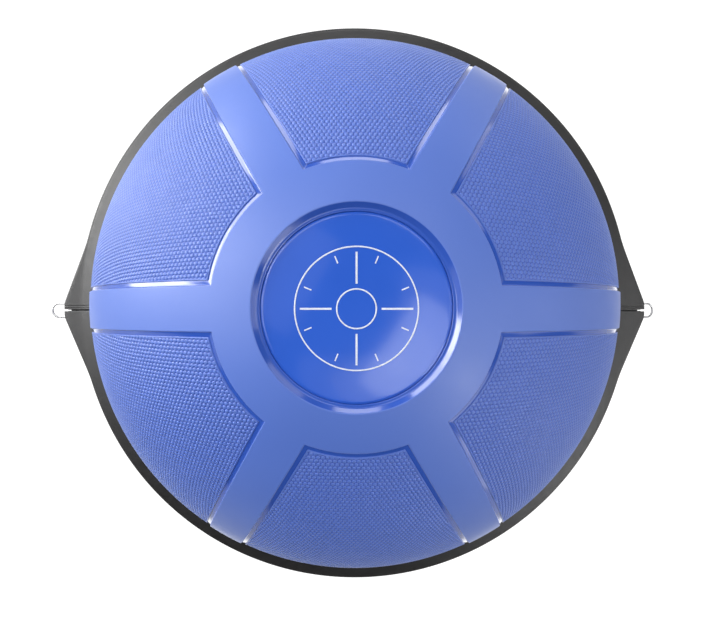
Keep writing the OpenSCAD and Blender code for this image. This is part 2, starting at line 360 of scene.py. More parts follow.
def rubber(name):
    m = Mat(name)
    co = m.coords()
    base = m.ramp(m.noise(35, 4, 0.6, co), [(0.3, srgb(38, 38, 39)), (0.75, srgb(54, 54, 55))])
    m.link(base, m.p.inputs["Base Color"])
    m.link(m.maprange(m.noise(150, 3, 0.6, co), 0.3, 0.7, 0.62, 0.78), m.p.inputs["Roughness"])
    m.link(m.bump(m.noise(1400, 2, 0.6, co), 0.3, 0.0003), m.p.inputs["Normal"])
    m.set(Specular_IOR_Level=0.35)
    return m.m


def metal(name, dark, light, rough, streak):
    m = Mat(name)
    co = m.coords()
    mp = m.node("ShaderNodeMapping")
    mp.inputs["Scale"].default_value = streak
    m.link(co, mp.inputs["Vector"])
    n = m.noise(60, 4, 0.6, mp.outputs["Vector"])
    m.link(m.ramp(n, [(0.3, dark), (0.7, light)]), m.p.inputs["Base Color"])
    m.link(m.maprange(n, 0.3, 0.7, rough - 0.06, rough + 0.08), m.p.inputs["Roughness"])
    m.link(m.bump(n, 0.08, 0.0002), m.p.inputs["Normal"])
    m.set(Metallic=1.0)
    return m.m


M_VINYL = vinyl("vinyl_smooth", False)
M_TREAD = vinyl("vinyl_tread", True)
M_DISC = gloss_disc()
M_INK = print_white()
# the last colour is painted shade for the rim's outer edge bevel
M_RIM = black_plastic("rim_plastic_grain", srgb(20, 19, 20), srgb(28, 27, 27), 0.46, 900, 0.0003, srgb(10, 10, 10))
M_BASE = black_plastic("platform_plastic_grain", srgb(42, 42, 43), srgb(58, 58, 59), 0.56, 500, 0.0005)
M_RUBBER = rubber("rubber_black")
M_STEEL = metal("steel_wire", srgb(168, 168, 170), srgb(205, 205, 207), 0.24, (6, 1, 1))
M_ZINC = metal("zinc_plate", srgb(150, 152, 158), srgb(188, 190, 194), 0.36, (1, 1, 1))


def paint(ob, mat):
    ob.data.materials.clear()
    ob.data.materials.append(mat)


def paint_cad(node, mat):
    ob = frame["nodes"][node]
    for s in ob.material_slots:
        s.material = mat
    if not ob.material_slots:
        ob.data.materials.append(mat)


# ---------------------------------------------------------------- dome curve
def meridian():
    """Outer dome line from the recess edge down to the bead: s, r, z, nr, nz."""
    a1 = math.acos((RECESS_R / DOME_R) ** (DN / 2))
    a = a1 * (1 - np.linspace(0, 1, 4000) ** 1.0)
    r = DOME_R * np.cos(a) ** (2 / DN)
    z = MID_Z + RISE * np.sin(np.clip(a, 0, None)) ** (2 / DM)
    zl = np.linspace(MID_Z, BEAD_TOP, 400)[1:]
    rl = DOME_R - 3.6 * ((MID_Z - zl) / (MID_Z - BEAD_TOP)) ** 2
    r, z = np.concatenate([r, rl]), np.concatenate([z, zl])
    s = np.concatenate([[0], np.cumsum(np.hypot(np.diff(r), np.diff(z)))])
    even = np.linspace(0, s[-1], 3000)
    r, z = np.interp(even, s, r), np.interp(even, s, z)
    k = np.ones(9) / 9
    tr, tz = np.gradient(r, even), np.gradient(z, even)
    tr[8:-8] = np.convolve(tr, k, "same")[8:-8]
    tz[8:-8] = np.convolve(tz, k, "same")[8:-8]
    length = np.hypot(tr, tz)
    return even, r, z, -tz / length, tr / length


S_, R_, Z_, NR_, NZ_ = meridian()
S_END = S_[-1]
TOP_PART = Z_ >= MID_Z


def at(s):
    return np.interp(s, S_, R_), np.interp(s, S_, Z_), np.interp(s, S_, NR_), np.interp(s, S_, NZ_)


def s_of_r(r):
    k = np.argmax(R_)
    return np.interp(r, R_[:k + 1], S_[:k + 1])


S_RING = float(s_of_r(RING_OUT))


# a crisp shoulder, then a flat glossy slope that runs down to the panel
EDGE_D = np.array([-0.55, -0.35, -0.15, 0.0, 0.15, 0.32, 0.55, 0.85])
EDGE_H = np.array([0.0, -0.03, -0.15, -0.36, -0.68, -1.02, -1.27, -1.38])
SLOPE_D = np.array([2.0, 3.2, GROOVE])
SLOPE_H = np.array([-1.62, -1.87, -DEPTH + 0.08])


def groove_profile(d):
    """Height of the smooth skin against its distance outside the smooth edge."""
    return np.interp(d, np.concatenate([EDGE_D, SLOPE_D]), np.concatenate([EDGE_H, SLOPE_H]))


def spaced(a, b, step):
    n = max(2, int(round((b - a) / step)) + 1)
    return np.linspace(a, b, n)


# ---------------------------------------------------------------- dome body
def dome_body():
    edge = EDGE_D
    # columns of half a sector: spoke centre out to the panel's middle
    t = np.concatenate([np.linspace(0, SPOKE - 1.3, 8), SPOKE + edge, SPOKE + SLOPE_D])
    nt = len(t)
    inner = 9                                   # columns under a panel
    rows = np.concatenate([spaced(1.2, S_RING - 1.3, 2.6), S_RING + edge,
                           S_RING + SLOPE_D,
                           spaced(S_RING + GROOVE, S_END, 2.4)[1:]])
    r, z, nr, nz = at(rows)
    reff = np.maximum(r, RING_OUT)

    def columns(reff):
        """Angles of every column of the six sectors, for each row."""
        half = np.arcsin(np.clip(t[None, :] / reff[:, None], 0, 1))
        out = []
        dist = []
        for k in range(6):
            c = math.radians(60 * k)
            if k:
                pass
            left = c - half[:, ::-1]
            right = c + half[:, 1:]
            out += [left, right]
            dist += [np.broadcast_to(t[::-1] - SPOKE, left.shape), np.broadcast_to(t[1:] - SPOKE, right.shape)]
            f = np.linspace(0, 1, inner + 2)[1:-1]
            a = c + half[:, -1:]
            b = c + math.radians(60) - half[:, -1:]
            out.append(a + (b - a) * f)
            dist.append(np.full((len(reff), inner), 50.0))
        return np.concatenate(out, 1), np.concatenate(dist, 1)

    ang, d1 = columns(reff)
    ncol = ang.shape[1]
    d = np.minimum(d1, (rows - S_RING)[:, None])
    h = groove_profile(d)
    rr = r[:, None] + h * nr[:, None]
    zz = z[:, None] + h * nz[:, None]
    mask = smoothstep(d, 0.1, 0.5)

    # rows of the recess, from the seat out to the start of the outer curve
    pre = [(DISC_R + 0.25, SEAT), (DISC_R + 0.25, DISC_EDGE - 0.25), (DISC_R + 0.40, DISC_EDGE - 0.02),
           (DISC_R + 0.9, DISC_EDGE + 0.06), (DISC_R + 1.5, DISC_EDGE + 0.10), (DISC_R + 2.1, DISC_EDGE + 0.16),
           (DISC_R + 2.6, DISC_EDGE + 0.30), (DISC_R + 3.0, DISC_EDGE + 0.52), (DISC_R + 3.3, DISC_EDGE + 0.78)]
    pre += [(DISC_R + 3.3 + (RECESS_R - 0.75 - DISC_R - 3.3) * k / 5,
             DISC_EDGE + 0.78 + (CROWN - 0.85 - DISC_EDGE - 0.78) * k / 5) for k in range(1, 6)]
    pre += [(RECESS_R - 0.45, CROWN - 0.52), (RECESS_R - 0.1, CROWN - 0.24), (RECESS_R + 0.3, CROWN - 0.10), (RECESS_R + 0.75, CROWN - 0.16)]
    # rows after the outer curve: bead and inner wall
    post = [(267.6, BEAD_TOP + 0.0), (268.6, BEAD_TOP - 0.15), (276.2, BEAD_TOP - 0.15), (277.2, BEAD_TOP - 1.2),
            (277.3, DECK + 1.5), (276.3, DECK + 0.4), (265.0, DECK + 0.4), (263.8, DECK + 1.6), (263.6, BEAD_TOP)]
    for k in range(1, 5):
        zz_ = BEAD_TOP + (MID_Z - BEAD_TOP) * k / 5
        post.append((DOME_R - 3.6 * ((MID_Z - zz_) / (MID_Z - BEAD_TOP)) ** 2 - 4, zz_))
    a2 = math.acos(((RECESS_R + 14) / (DOME_R - 4)) ** (DN / 2))
    for k in range(0, 25):
        a = a2 * k / 24
        post.append(((DOME_R - 4) * math.cos(a) ** (2 / DN), MID_Z + (RISE - 4) * math.sin(a) ** (2 / DM)))
    post += [(RECESS_R + 6, SEAT - 4), (RECESS_R - 20, SEAT - 4), (30, SEAT - 4)]

    def plain(points):
        p = np.array(points, float)
        a, _ = columns(np.maximum(p[:, 0], RING_OUT))
        return np.repeat(p[:, :1], ncol, 1), np.repeat(p[:, 1:], ncol, 1), a

    r1, z1, a1 = plain([(30, SEAT)] + pre)
    r2, z2, a2_ = plain(post)
    r_all = np.vstack([r1, rr, r2])
    z_all = np.vstack([z1, zz, z2])
    a_all = np.vstack([a1, ang, a2_])
    m_all = np.vstack([smoothstep(RECESS_R - r1, 0.0, 0.5), mask, np.zeros_like(r2)])
    v = np.stack([r_all * np.cos(a_all), r_all * np.sin(a_all), z_all], -1).reshape(-1, 3)
    nrow = len(r_all)
    faces = [grid_faces(nrow, ncol)]
    j = np.arange(ncol)
    n0 = len(v)
    faces.append(np.stack([np.full(ncol, n0), j, (j + 1) % ncol], -1))
    b = (nrow - 1) * ncol
    faces.append(np.stack([np.full(ncol, n0 + 1), b + (j + 1) % ncol, b + j], -1))
    v = np.vstack([v, [[0, 0, SEAT], [0, 0, SEAT - 4]]])
    # rows run outwards and columns anticlockwise, so flip to face outwards
    ob = new_mesh("dome_skin", v, faces)
    fix_normals(ob)
    # the groove mask marks the groove floors and the recess bevel, which the vinyl material paints darker as painted
    # shade and makes glossier
    point_attr(ob, "groove", np.concatenate([m_all.ravel(), [0, 0]]))
    return ob


# ---------------------------------------------------------------- grip panels
def panel(k):
    """One textured panel: a closed slab whose top carries the bumps."""
    centre = math.radians(30 + 60 * k)
    start = GROOVE - 0.1
    rim_t = np.array([0.0, 0.12, 0.28, 0.48, 0.72, 0.98, 1.25, 1.6, 2.0, 2.5])
    rim_h = np.array([-0.80, -0.34, -0.10, -0.01, 0.0, -0.04, -0.12, -0.2, -0.2, -0.2])
    s_in, s_out = S_RING + start, S_END - 2.5
    n_r, n_c = 302, 314
    rows = np.concatenate([s_in + rim_t, np.linspace(s_in + rim_t[-1], s_out, n_r - len(rim_t) + 1)[1:]])
    r, z, nr, nz = at(rows)
    edge_t = SPOKE + start + rim_t
    half = np.arcsin(edge_t[None, :] / np.maximum(r, RING_OUT)[:, None])
    lo = centre - math.radians(30)
    hi = centre + math.radians(30)
    inner = np.linspace(0, 1, n_c - 2 * len(rim_t) + 2)[1:-1]
    a = lo + half
    b = (hi - half)[:, ::-1]
    mid = a[:, -1:] + (b[:, :1] - a[:, -1:]) * inner
    ang = np.concatenate([a, mid, b], 1)
    rg = np.repeat(r[:, None], ang.shape[1], 1)
    psi = ang - centre
    # distance to the panel's border
    side = rg * np.sin(np.minimum(ang - lo, hi - ang)) - (SPOKE + start)
    dist = np.minimum(side, (rows - s_in)[:, None])
    x = rg * np.sin(psi)
    rc = np.minimum(rg, 205.0)
    v = rows[:, None] - (s_of_r(rc) - s_of_r(np.maximum(rc * np.cos(psi), RECESS_R)))
    K = 4 * math.pi / (math.sqrt(3) * PITCH)
    f = (np.cos(K * v) + np.cos(K * (math.sqrt(3) / 2 * x + v / 2)) + np.cos(K * (-math.sqrt(3) / 2 * x + v / 2)))
    g = (f + 1.5) / 4.5
    bump = smoothstep(g, 0.02, 0.5)
    inside = smoothstep(dist, 0.75, 1.35)
    border = np.interp(dist, rim_t, rim_h)
    h = border * (1 - inside) + (-0.70 + 0.66 * bump) * inside
    # the panels sit a little below the smooth ring and spokes, level again near the rim
    h = h - 1.1 * smoothstep(S_END - rows, 22.0, 55.0)[:, None]
    rr = rg + h * nr[:, None]
    zz = z[:, None] + h * nz[:, None]
    top = np.stack([rr * np.cos(ang), rr * np.sin(ang), zz], -1)
    R, C = ang.shape
    # coarse bottom on a subset of rows and columns
    ri = np.unique(np.concatenate([[0], np.arange(len(rim_t), R - 1, 9), [R - 1]]))
    ci = np.unique(np.concatenate([[0], np.arange(len(rim_t), C - len(rim_t), 9), [C - 1]]))
    hb = -DEPTH - 0.7
    sub = np.ix_(ri, ci)
    rb = rg[sub] + hb * nr[ri][:, None]
    zb = np.repeat(z[ri][:, None] + hb * nz[ri][:, None], len(ci), 1)
    # the wall flares a little towards the groove floor
    ab = ang[sub].copy()
    flare = 0.55 / np.maximum(r[ri], 1)
    ab[:, 0] -= flare
    ab[:, -1] += flare
    r_first, z_first, nr_f, nz_f = at(np.array([s_in - 0.55]))
    rb[0, :] = r_first[0] + hb * nr_f[0]
    zb[0, :] = z_first[0] + hb * nz_f[0]
    bottom = np.stack([rb * np.cos(ab), rb * np.sin(ab), zb], -1)
    BR, BC = rb.shape
    verts = np.vstack([top.reshape(-1, 3), bottom.reshape(-1, 3)])
    base = R * C
    faces = [grid_faces(R, C, closed=False), grid_faces(BR, BC, closed=False, base=base)[:, ::-1]]

    tris = []

    def wall(top_ids, bottom_ids, idx, flip):
        for j in range(len(idx) - 1):
            for i in range(idx[j], idx[j + 1]):
                tris.append((top_ids[i], top_ids[i + 1], bottom_ids[j])[::-1 if flip else 1])
            tris.append((top_ids[idx[j + 1]], bottom_ids[j + 1], bottom_ids[j])[::-1 if flip else 1])

    wall(np.arange(C), base + np.arange(BC), ci, True)
    wall((R - 1) * C + np.arange(C), base + (BR - 1) * BC + np.arange(BC), ci, False)
    wall(np.arange(R) * C, base + np.arange(BR) * BC, ri, False)
    wall(np.arange(R) * C + C - 1, base + np.arange(BR) * BC + BC - 1, ri, True)
    faces.append(np.array(tris))
    ob = new_mesh("grip_panel_%d" % (k + 1), verts, faces)
    fix_normals(ob)
    pad = np.zeros(BR * BC)
    point_attr(ob, "lat_u", np.concatenate([(K * v).ravel(), pad]))
    point_attr(ob, "lat_w", np.concatenate([(K * math.sqrt(3) / 2 * x).ravel(), pad]))
    point_attr(ob, "inside", np.concatenate([inside.ravel(), pad]))
    return ob


def dome_piece(ob, mat):
    paint(ob, mat)
    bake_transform(ob)
    return ob


dome = dome_piece(dome_body(), M_VINYL)
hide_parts("dome_shell")
for k in range(6):
    p = panel(k)
    sharp(p, 48)
    dome_piece(p, M_TREAD)


# ---------------------------------------------------------------- centre disc
def disc_profile():
    pts = [(0, DISC_TOP)]
    for r in np.linspace(4, DISC_R - 2.5, 26):
        pts.append((r, DISC_EDGE + 1.6 * (1 - (r / DISC_R) ** 2)))
    z = DISC_EDGE + 1.6 * (1 - ((DISC_R - 2.5) / DISC_R) ** 2)
    pts += [(DISC_R - 2.0, z - 0.05), (DISC_R - 1.5, z - 0.18), (DISC_R - 1.0, z - 0.42), (DISC_R - 0.6, z - 0.7),
            (DISC_R - 0.25, z - 1.05), (DISC_R - 0.05, z - 1.4), (DISC_R, z - 1.7),
            (DISC_R, DISC_BOTTOM + 0.3), (DISC_R - 0.25, DISC_BOTTOM + 0.05), (DISC_R - 0.6, DISC_BOTTOM), (0, DISC_BOTTOM)]
    return pts


disc = lathe("centre_disc_gloss", disc_profile(), 288)
paint(disc, M_DISC)
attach(disc, "dome")
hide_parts("centre_disc")


def disc_z(r):
    return DISC_EDGE + 1.6 * (1 - (r / DISC_R) ** 2)


def ink_ring(name, r, w, segs=240):
    """A thin printed ring that follows the disc's crown."""
    t = 0.14
    prof = [(r - w / 2, disc_z(r - w / 2) - 0.05), (r - w / 2, disc_z(r - w / 2) + t * 0.8),
            (r - w / 4, disc_z(r - w / 4) + t), (r + w / 4, disc_z(r + w / 4) + t),
            (r + w / 2, disc_z(r + w / 2) + t * 0.8), (r + w / 2, disc_z(r + w / 2) - 0.05)]
    return lathe(name, prof, segs)


def ink_ticks(name, r1, r2, w, count, phase=0.0):
    """Short printed strokes on the radius."""
    v, f = [], []
    t = 0.14
    for i in range(count):
        a = phase + 2 * math.pi * i / count
        u = np.array([math.cos(a), math.sin(a)])
        n = np.array([-math.sin(a), math.cos(a)])
        n0 = len(v)
        steps = 5
        for j in range(steps):
            r = r1 + (r2 - r1) * j / (steps - 1)
            for sgn, dz in ((-1, -0.05), (-1, t * 0.8), (-0.5, t), (0.5, t), (1, t * 0.8), (1, -0.05)):
                p = u * r + n * (sgn * w / 2)
                v.append((p[0], p[1], disc_z(math.hypot(*p)) + dz))
        for j in range(steps - 1):
            for q in range(6):
                a0, a1 = n0 + j * 6 + q, n0 + j * 6 + (q + 1) % 6
                f.append((a0, a1, a1 + 6, a0 + 6))
        f_end = [tuple(n0 + q for q in range(6)), tuple(n0 + (steps - 1) * 6 + q for q in range(6))[::-1]]
        for poly in f_end:
            f.append((poly[0], poly[1], poly[2], poly[5]))
            f.append((poly[2], poly[3], poly[4], poly[5]))
    ob = new_mesh(name, v, [np.array(f)], smooth=False)
    fix_normals(ob)
    return ob


def printed(ob):
    paint(ob, M_INK)
    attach(ob, "dome")


for name, r, w in (("print_ring_outer", 47.0, 1.1), ("print_ring_inner", 15.0, 1.1)):
    printed(ink_ring(name, r, w))
printed(ink_ticks("print_ticks_long", 19.0, 43.0, 1.5, 4))
printed(ink_ticks("print_ticks_short", 37.0, 43.0, 1.0, 8, math.pi / 8))

# ---------------------------------------------------------------- rim halves
EAR_TOP = 41.5
SKIN_Z = EAR_TOP - 3.5
SEAM = 0.6                               # half of the gap between the halves
TIP_HALF = 7.5
SIDE_A = math.radians(14.3)              # where an ear's side meets the rim
AXIS_X = EAR - 5.0
AXIS_Z = EAR_TOP - 10.0
_side = np.array([RIM * math.cos(SIDE_A), RIM * math.sin(SIDE_A)])
_d = _side - np.array([EAR, TIP_HALF])
_d /= np.hypot(*_d)
SIDE_N = np.array([_d[1], -_d[0]])       # outward normal of the side
SIDE_D = float(SIDE_N @ _side)
SIDE_T = math.atan2(SIDE_N[1], SIDE_N[0])


def outline(phi):
    """Outer radius of the rim and its ears at angle phi from the ears' axis."""
    phi = np.asarray(phi, float)
    p = np.minimum(phi, SIDE_T)
    line = SIDE_D / np.cos(p - SIDE_T)
    tip = EAR / np.cos(p)
    low = 0.5 * (line + tip - np.sqrt((line - tip) ** 2 + 0.8 ** 2))
    high = 0.5 * (low + RIM + np.sqrt((low - RIM) ** 2 + 0.9 ** 2)) - RIM
    return RIM + high * (1 - smoothstep(phi, math.radians(17), SIDE_T))


def rim_loft(name, lines):
    """One half of the rim on the +Y side, lofted between the two seam faces."""
    near = [SEAM, SEAM + 0.12, SEAM + 0.35, 1.5, 2.2, 2.42, 2.62, 2.9, 3.1, 3.3, 3.8, 3.83, 4.3, 4.55, 4.75, 5.0, 5.2, 5.45,
            5.9, 5.93, 6.6, 7.2, 7.8, 8.6, 9.1, 10.0, 11.5, 13.5, 16, 19, 22.5, 26.5, 31, 36, 41, 46, 51, 56, 60, 63.5,
            66.5, 69, 71.5, 74, 76.5, 79, 82, 85.5, 90]
    c = np.array(near)
    turn = np.arcsin(c / RIM)
    mid = np.linspace(turn[-1], math.pi - turn[-1], 150)[1:-1]
    phi0 = np.concatenate([turn, mid, math.pi - turn[::-1]])
    fold = np.minimum(phi0, math.pi - phi0)          # angle from the nearer ear
    cc = np.concatenate([c, np.full(len(mid), 200.0), c[::-1]])
    follow = 1 - smoothstep(cc, 20, 80)

    def angle(r):
        a = fold + follow * (np.arcsin(np.clip(cc / r, 0, 1)) - np.arcsin(np.clip(cc / RIM, 0, 1)))
        return np.where(phi0 > math.pi / 2, math.pi - a, a)

    R = np.full(len(cc), RIM)
    for _ in range(30):
        a = angle(R)
        R = outline(np.minimum(a, math.pi - a))
    # the seam faces' upper edges are eased, and two fine lines run beside the seam
    dip = np.interp(cc, [SEAM, SEAM + 0.12, SEAM + 0.35, 0.97], [0.42, 0.18, 0.04, 0.0])
    for g in (2.76, 4.87) if lines else ():
        dip = dip + 0.42 * np.interp(np.abs(cc - g), [0.12, 0.36], [1.0, 0.0])
    gap = np.clip(R - RIM, 0, None)
    ear = np.clip(gap, 0, 1)
    out = np.where(cc < 5.91, 309.0, np.maximum(R - 3.0, RIM))
    out = np.where(cc < 3.82, RIM, out)
    roof = 17.0 + (SKIN_Z - 17.0) * smoothstep(out - RIM, 0.3, 3.0)
    one = np.ones_like(cc)
    sec = []

    def put(r, z):
        sec.append((r * one, z * one))

    for r, z in ((269.4, 44.2), (269.7, 45.2), (270.4, 45.85), (271.4, 46.15), (272.6, 46.2), (276, 45.7), (280, 45.0),
                 (285.5, 43.9), (291, 42.8), (294.5, 42.15), (296.2, 41.82)):
        put(r, z - dip)
    for k in range(5):
        put(297.4 + (R - 1.8 - 297.4) * k / 4, EAR_TOP + (0.12 if k == 0 else 0.0) - dip)
    for b, z in ((1.2, 0.12), (0.7, 0.40), (0.3, 0.85), (0.08, 1.3), (0.0, 1.8)):
        put(R - b, EAR_TOP - z - dip)
    for z in (34.0, 26.0, 18.0):
        put(R, z)
    put(R - 0.12 * ear, 17.4)
    put(R - 0.45 * ear, 17.0)
    put(out, 17.0)
    put(out, roof)
    put(RIM, roof)
    put(RIM, 17.0)
    for r, z in ((299.7, 15.9), (299.2, 15.2), (298.4, 14.85), (297.8, 14.9), (297.25, 15.4), (297.2, 22), (297.2, 30.2),
                 (290, 30.2), (284, 30.2), (277.8, 30.2), (277.8, 40.2), (272, 40.2), (269.9, 40.2), (269.4, 40.7), (269.4, 42.5)):
        put(r, z)
    n_sec, n_col = len(sec), len(cc)
    rr = np.array([q[0] for q in sec])
    zz = np.array([q[1] for q in sec])
    aa = np.array([angle(q) for q in rr])
    v = np.stack([rr * np.cos(aa), rr * np.sin(aa), zz], -1)
    # mask of the outer top edge's bevel, which the rim material paints darker as painted shade
    edge = np.clip(1 - np.abs((R - rr) - 0.2) / 1.1, 0, 1) * (zz > 30)
    v = v.reshape(-1, 3)
    # rows are section points, columns run round the rim; the section closes on itself
    i = np.arange(n_sec)[:, None]
    j = np.arange(n_col - 1)[None, :]
    i2 = (i + 1) % n_sec
    q = np.stack([i * n_col + j, i * n_col + j + 1, i2 * n_col + j + 1, i2 * n_col + j], -1).reshape(-1, 4)
    bm = bmesh.new()
    lay = bm.verts.layers.float.new("edge")
    vs = [bm.verts.new((p * MM).tolist()) for p in v]
    for b, e in zip(vs, edge.ravel()):
        b[lay] = float(e)
    for f in q:
        bm.faces.new([vs[t] for t in f])
    for col in (0, n_col - 1):
        loop = [vs[t * n_col + col] for t in range(n_sec)]
        bm.faces.new(loop if col == 0 else loop[::-1])
    bmesh.ops.remove_doubles(bm, verts=bm.verts, dist=2e-6)
    bmesh.ops.dissolve_degenerate(bm, dist=1e-6, edges=bm.edges)
    bmesh.ops.triangulate(bm, faces=[f for f in bm.faces if len(f.verts) > 4])
    bmesh.ops.recalc_face_normals(bm, faces=bm.faces)
    me = bpy.data.meshes.new(name)
    bm.to_mesh(me)
    bm.free()
    ob = bpy.data.objects.new(name, me)
    scene_collection().objects.link(ob)
    return ob


def scene_collection():
    return bpy.context.scene.collection


def cutter_box(x0, y0, z0, x1, y1, z1):
    v = [(x, y, z) for z in (z0, z1) for y in (y0, y1) for x in (x0, x1)]
    f = [(0, 2, 3, 1), (4, 5, 7, 6), (0, 1, 5, 4), (2, 6, 7, 3), (0, 4, 6, 2), (1, 3, 7, 5)]
    return v, f


def cutter_rod(x, y, z, r, length, axis, segs=40):
    v, f = [], []
    for e in (0, 1):
        for k in range(segs):
            a = 2 * math.pi * k / segs
            if axis == "y":
                v.append((x + r * math.cos(a), y + e * length, z + r * math.sin(a)))
            else:
                v.append((x + r * math.cos(a), y + r * math.sin(a), z + e * length))
    f.append(tuple(range(segs)))
    f.append(tuple(range(segs, 2 * segs))[::-1])
    for k in range(segs):
        f.append((k, (k + 1) % segs, segs + (k + 1) % segs, segs + k))
    return v, f


def boolean(ob, parts, operation):
    """Cuts or joins a set of closed solids, given as (verts, faces) in mm."""
    bm = bmesh.new()
    for v, f in parts:
        vs = [bm.verts.new((x * MM, y * MM, z * MM)) for x, y, z in v]
        for poly in f:
            bm.faces.new([vs[i] for i in poly])
    bmesh.ops.recalc_face_normals(bm, faces=bm.faces)
    me = bpy.data.meshes.new("cutter")
    bm.to_mesh(me)
    bm.free()
    other = bpy.data.objects.new("cutter", me)
    scene_collection().objects.link(other)
    mod = ob.modifiers.new("cut", "BOOLEAN")
    mod.operation = operation
    mod.solver = "EXACT"
    mod.use_self = False
    mod.object = other
    bpy.context.view_layer.update()
    dg = bpy.context.evaluated_depsgraph_get()
    new = bpy.data.meshes.new_from_object(ob.evaluated_get(dg))
    ob.modifiers.clear()
    old = ob.data
    ob.data = new
    bpy.data.meshes.remove(old)
    bpy.data.objects.remove(other)
    bpy.data.meshes.remove(me)


def rim_half(name, rear):
    ob = rim_loft(name, rear)
    cuts = []
    for s in (-1, 1):
        lo, hi = sorted((s * (EAR - 5), s * (EAR + 3)))
        cuts.append(cutter_box(lo, -1.0, 10.0, hi, 1.1, 60.0))             # see-through slot
        lo, hi = sorted((s * (AXIS_X - 3.5), s * (AXIS_X + 11)))
        cuts.append(cutter_box(lo, 5.9, 0.0, hi, 9.1, SKIN_Z))             # slot of the ring's leg
        lo, hi = sorted((s * (AXIS_X - 5.0), s * (AXIS_X + 9)))
        cuts.append(cutter_box(lo, -1.0, 0.0, hi, 20.0, AXIS_Z - 7.5))     # the lug ends above the ring's sweep
        cuts.append(cutter_rod(s * AXIS_X, -1.0, AXIS_Z, 1.18, 9.0, "y", 32))
        cuts.append(cutter_rod(s * (RIM + 4.5), -1.0, DECK - 3, 2.2, 6.5, "y", 32))
    for k in range(8):
        a = math.radians((k + 0.5) * 22.5)
        cuts.append(cutter_rod(288 * math.cos(a), 288 * math.sin(a), DECK - 1, 2.05, 12.0, "z", 24))
    for part in cuts:
        boolean(ob, [part], "DIFFERENCE")
    if not rear:
        ob.data.transform(Matrix.Scale(-1, 4, (0, 1, 0)))
        ob.data.flip_normals()
    grow = 0.0 if rear else 0.3
    for s in (-1, 1):
        lo, hi = sorted((s * (RIM - 16 - grow), s * (AXIS_X - 0.6 + grow)))
        box = cutter_box(lo, -2.4 - grow, SKIN_Z - 4 - grow, hi, SEAM + 0.5 + grow, SKIN_Z - 1.6 + grow)
        boolean(ob, [box], "UNION" if rear else "DIFFERENCE")
    ob.data.polygons.foreach_set("use_smooth", np.ones(len(ob.data.polygons), bool))
    sharp(ob, 32)
    paint(ob, M_RIM)
    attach(ob, "base")
    return ob


rim_rear = rim_half("rim_rear", True)
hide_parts("rim_half_rear")
rim_front = rim_half("rim_front", False)
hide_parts("rim_half_front")


# ---------------------------------------------------------------- band rings
def ring_path(n_arc=40):
    leg, big, small = 15.5, 7.5, 1.5
    p = [(0, 1.9), (0, 3.0), (0, 4.5)]
    p += [(small - small * math.cos(t), big - small + small * math.sin(t)) for t in np.linspace(0, math.pi / 2, 12)]
    p += [(x, big) for x in np.linspace(small, leg, 8)[1:-1]]
    p += [(leg + big * math.sin(t), big * math.cos(t)) for t in np.linspace(0, math.pi / 2, n_arc // 2)]
    p = np.array(p)
    return np.vstack([p, (p * [1, -1])[::-1][1:]])


def tube(name, path, radius, segs=24):
    """A wire of round section along a path in the XZ... plane of its points."""
    path = np.asarray(path, float)
    tan = np.gradient(path, axis=0)
    tan /= np.linalg.norm(tan, axis=1)[:, None]
    side = np.stack([-tan[:, 1], tan[:, 0], np.zeros(len(tan))], -1)
    up = np.array([0.0, 0.0, 1.0])
    a = np.arange(segs) * 2 * math.pi / segs
    v = (path[:, None, :] + radius * (side[:, None, :] * np.cos(a)[None, :, None] + up * np.sin(a)[None, :, None]))
    # rounded ends
    caps = []
    for i, sgn in ((0, -1), (-1, 1)):
        for lift, shrink in ((0.0, 1.0),):
            caps.append(path[i] + tan[i] * sgn * 0.0)
    n = len(path)
    v = v.reshape(-1, 3)
    f = grid_faces(n, segs)
    j = np.arange(segs)
    v = np.vstack([v, path[0] - tan[0] * 0.25, path[-1] + tan[-1] * 0.25])
    f1 = np.stack([np.full(segs, n * segs), j, (j + 1) % segs], -1)
    b = (n - 1) * segs
    f2 = np.stack([np.full(segs, n * segs + 1), b + (j + 1) % segs, b + j], -1)
    ob = new_mesh(name, v, [f, f1, f2])
    fix_normals(ob)
    return ob


def band_ring(name, node, body, side):
    lo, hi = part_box(node)
    p2 = ring_path()
    path = np.column_stack([p2, np.zeros(len(p2))])
    ob = tube(name, path, 1.1)
    joint = next(j for j in frame["joints"] if j["child"] == body)
    pos = Vector(joint["pos_m"])
    # the ring's rest angle, from how far its end hangs below its axis
    reach = (hi.x if side > 0 else -lo.x) - abs(pos.x)
    droop = math.acos(min(1.0, (reach - 0.0011) / 0.023)) if hi.z - lo.z > 0.003 else 0.0
    m = Matrix.Translation(pos)
    if side < 0:
        m = m @ Matrix.Rotation(math.pi, 4, "Z")
    m = m @ Matrix.Rotation(droop, 4, "Y")
    ob.data.transform(m)
    paint(ob, M_STEEL)
    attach(ob, body)
    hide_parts(node)
    return ob


band_ring("wire_ring_left", "ring_left", "left_ring", -1)
band_ring("wire_ring_right", "ring_right", "right_ring", 1)

# ---------------------------------------------------------------- CAD nodes
paint_cad("platform_plate", M_BASE)
paint_cad("dome_floor", M_VINYL)
for n in ("valve_body", "valve_plug"):
    paint_cad(n, M_RUBBER)
for i in range(8):
    paint_cad("foot_pad_%d" % (i + 1), M_RUBBER)
for n in ("ear_bolt_left", "ear_bolt_right", "ear_nut_left", "ear_nut_right", "platform_screws", "platform_washers"):
    paint_cad(n, M_ZINC)

# ---------------------------------------------------------------- studio
scene = bpy.context.scene
scene.view_settings.view_transform = "Standard"
scene.view_settings.look = "None"


FLOOR_GLOW, FLOOR_NEAR = 0.5, 1.5


